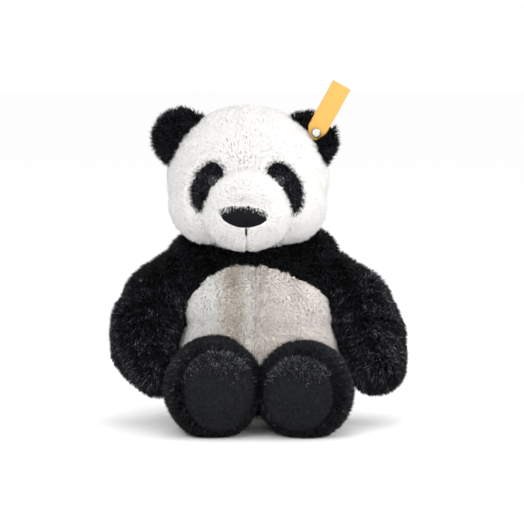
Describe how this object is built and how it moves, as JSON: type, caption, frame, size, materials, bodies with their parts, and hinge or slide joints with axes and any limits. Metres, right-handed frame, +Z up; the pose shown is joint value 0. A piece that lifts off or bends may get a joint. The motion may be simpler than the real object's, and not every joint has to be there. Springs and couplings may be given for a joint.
{
  "type": "plush panda",
  "caption": "Seated soft toy panda in long black and cream pile, with a turning head, swinging arms, folding legs and a ribbon tag riveted to one ear.",
  "frame": {"origin": "on the floor, in the middle of the toy's footprint", "axes": "+Z up, -Y the way the toy faces, +X towards the toy's own left side"},
  "size_m": [0.238, 0.1936, 0.2784],
  "materials": {
    "black_plush": "matte",
    "white_plush": "matte",
    "cream_plush": "matte",
    "black_short_plush": "matte",
    "stuffing": "matte",
    "nose_fabric": "satin",
    "eye_plastic": "gloss",
    "washer_plastic": "matte",
    "ribbon": "satin",
    "rivet_metal": "polished"
  },
  "bodies": {
    "torso": {"back_yoke_left": "black_plush", "back_yoke_right": "black_plush", "belly_left": "cream_plush", "belly_right": "cream_plush", "chest_yoke": "black_plush", "lower_back_left": "cream_plush", "lower_back_right": "cream_plush", "seat_panel": "cream_plush", "tail": "cream_plush", "torso_stuffing": "stuffing"},
    "neck": {"neck_stuffing": "stuffing"},
    "head": {"cheek_left": "white_plush", "cheek_right": "white_plush", "chin_left": "white_plush", "chin_right": "white_plush", "ear_left_back": "black_plush", "ear_left_front": "black_plush", "ear_right_back": "black_plush", "ear_right_front": "black_plush", "eye_left": "eye_plastic", "eye_patch_left": "black_short_plush", "eye_patch_right": "black_short_plush", "eye_right": "eye_plastic", "eye_washer_left": "washer_plastic", "eye_washer_right": "washer_plastic", "forehead_gusset": "white_plush", "head_back_left": "white_plush", "head_back_right": "white_plush", "head_stuffing": "stuffing", "mouth_stitch": "nose_fabric", "muzzle_bridge": "white_plush", "muzzle_stuffing": "stuffing", "nose": "nose_fabric", "rivet_cap": "rivet_metal", "rivet_washer": "rivet_metal"},
    "ear_tag": {"ear_tag": "ribbon"},
    "arm_left": {"arm_left_inner_panel": "black_plush", "arm_left_outer_panel": "black_plush", "arm_left_stuffing": "stuffing"},
    "arm_right": {"arm_right_inner_panel": "black_plush", "arm_right_outer_panel": "black_plush", "arm_right_stuffing": "stuffing"},
    "leg_left": {"leg_left_lower_panel": "black_plush", "leg_left_sole_pad": "black_short_plush", "leg_left_stuffing": "stuffing", "leg_left_upper_panel": "black_plush"},
    "leg_right": {"leg_right_lower_panel": "black_plush", "leg_right_sole_pad": "black_short_plush", "leg_right_stuffing": "stuffing", "leg_right_upper_panel": "black_plush"}
  },
  "joints": [
    {"name": "head_turn", "type": "hinge", "parent": "torso", "child": "neck", "pos_m": [-0.005, 0.034, 0.125], "axis": [0, 0, 1], "range_deg": [-35, 35]},
    {"name": "head_nod", "type": "hinge", "parent": "neck", "child": "head", "pos_m": [-0.005, 0.034, 0.125], "axis": [1, 0, 0], "range_deg": [-12, 8]},
    {"name": "arm_left_swing", "type": "hinge", "parent": "torso", "child": "arm_left", "pos_m": [0.058, 0.032, 0.129], "axis": [-0.9703, 0, -0.2419], "range_deg": [-25, 65]},
    {"name": "arm_right_swing", "type": "hinge", "parent": "torso", "child": "arm_right", "pos_m": [-0.058, 0.032, 0.129], "axis": [-0.9703, 0, 0.2419], "range_deg": [-25, 65]},
    {"name": "leg_left_lift", "type": "hinge", "parent": "torso", "child": "leg_left", "pos_m": [0.036, -0.008, 0.0345], "axis": [-1, 0, 0], "range_deg": [0, 30]},
    {"name": "leg_right_lift", "type": "hinge", "parent": "torso", "child": "leg_right", "pos_m": [-0.036, -0.008, 0.0345], "axis": [-1, 0, 0], "range_deg": [0, 30]},
    {"name": "tag_swivel", "type": "hinge", "parent": "head", "child": "ear_tag", "pos_m": [0.044, 0.012, 0.236], "axis": [0.2419, -0.9703, 0], "range_deg": [-20, 20]}
  ]
}
